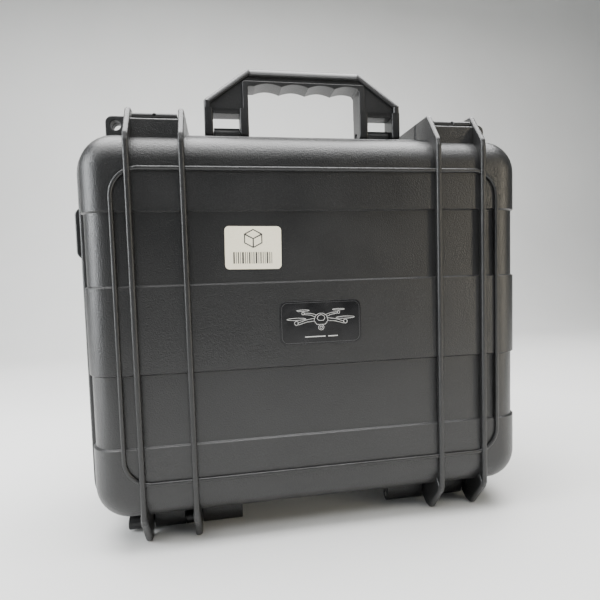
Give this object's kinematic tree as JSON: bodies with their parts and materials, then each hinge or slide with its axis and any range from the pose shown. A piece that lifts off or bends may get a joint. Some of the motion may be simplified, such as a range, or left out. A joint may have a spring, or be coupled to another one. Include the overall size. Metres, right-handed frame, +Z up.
{
  "type": "drone carrying case",
  "caption": "Hard-shell carrying case for a folding drone, with ribbed lid and base, lever latches, folding carrying handle, pinned hinge, gasket and cut foam.",
  "frame": {"origin": "centre of the box's footprint, on the surface that the case stands on with its hinge side down", "axes": "+X across the case, +Y from the lid's face to the base's back, +Z up from the hinge to the handle"},
  "size_m": [0.352, 0.13, 0.3465],
  "materials": {
    "shell_plastic": "black moulded polypropylene, fine texture, satin sheen",
    "valve_plastic": "black moulded plastic, matt",
    "steel": "plain steel pins and screws",
    "seal_rubber": "soft black seal",
    "foam": "charcoal open-cell foam",
    "emblem": "glossy black label with a light line drawing",
    "sticker": "off-white paper label"
  },
  "bodies": {
    "base": {"base_shell": "shell_plastic", "base_foam_pad": "foam", "base_foam_insert": "foam", "hinge_pin_left": "steel", "hinge_pin_right": "steel", "latch_pin_left": "steel", "latch_pin_right": "steel", "handle_pin_left": "steel", "handle_pin_right": "steel", "strap_loop_left": "shell_plastic", "strap_loop_right": "shell_plastic", "strap_screw_left_lower": "steel", "strap_screw_left_upper": "steel", "strap_screw_right_lower": "steel", "strap_screw_right_upper": "steel", "valve_body": "valve_plastic", "valve_seal": "seal_rubber"},
    "lid": {"lid_shell": "shell_plastic", "lid_gasket": "seal_rubber", "lid_foam": "foam", "emblem_plate": "emblem", "inventory_sticker": "sticker"},
    "handle": {"handle": "shell_plastic"},
    "latch_left": {"latch_left": "shell_plastic"},
    "latch_right": {"latch_right": "shell_plastic"},
    "valve_knob": {"valve_knob": "valve_plastic"}
  },
  "joints": [
    {"name": "lid_hinge", "type": "hinge", "parent": "base", "child": "lid", "pos_m": [0, -0.0275, 0.006], "axis": [1, 0, 0], "range_deg": [0, 110]},
    {"name": "handle_fold", "type": "hinge", "parent": "base", "child": "handle", "pos_m": [0, -0.017, 0.2995], "axis": [1, 0, 0], "range_deg": [-90, 0]},
    {"name": "latch_left_lift", "type": "hinge", "parent": "base", "child": "latch_left", "pos_m": [-0.1094, 0.002, 0.299], "axis": [1, 0, 0], "range_deg": [-100, 0]},
    {"name": "latch_right_lift", "type": "hinge", "parent": "base", "child": "latch_right", "pos_m": [0.1094, 0.002, 0.299], "axis": [1, 0, 0], "range_deg": [-100, 0]},
    {"name": "valve_turn", "type": "hinge", "parent": "base", "child": "valve_knob", "pos_m": [0, -0.005, 0.294], "axis": [0, 0, 1], "range_deg": [0, 180]}
  ]
}
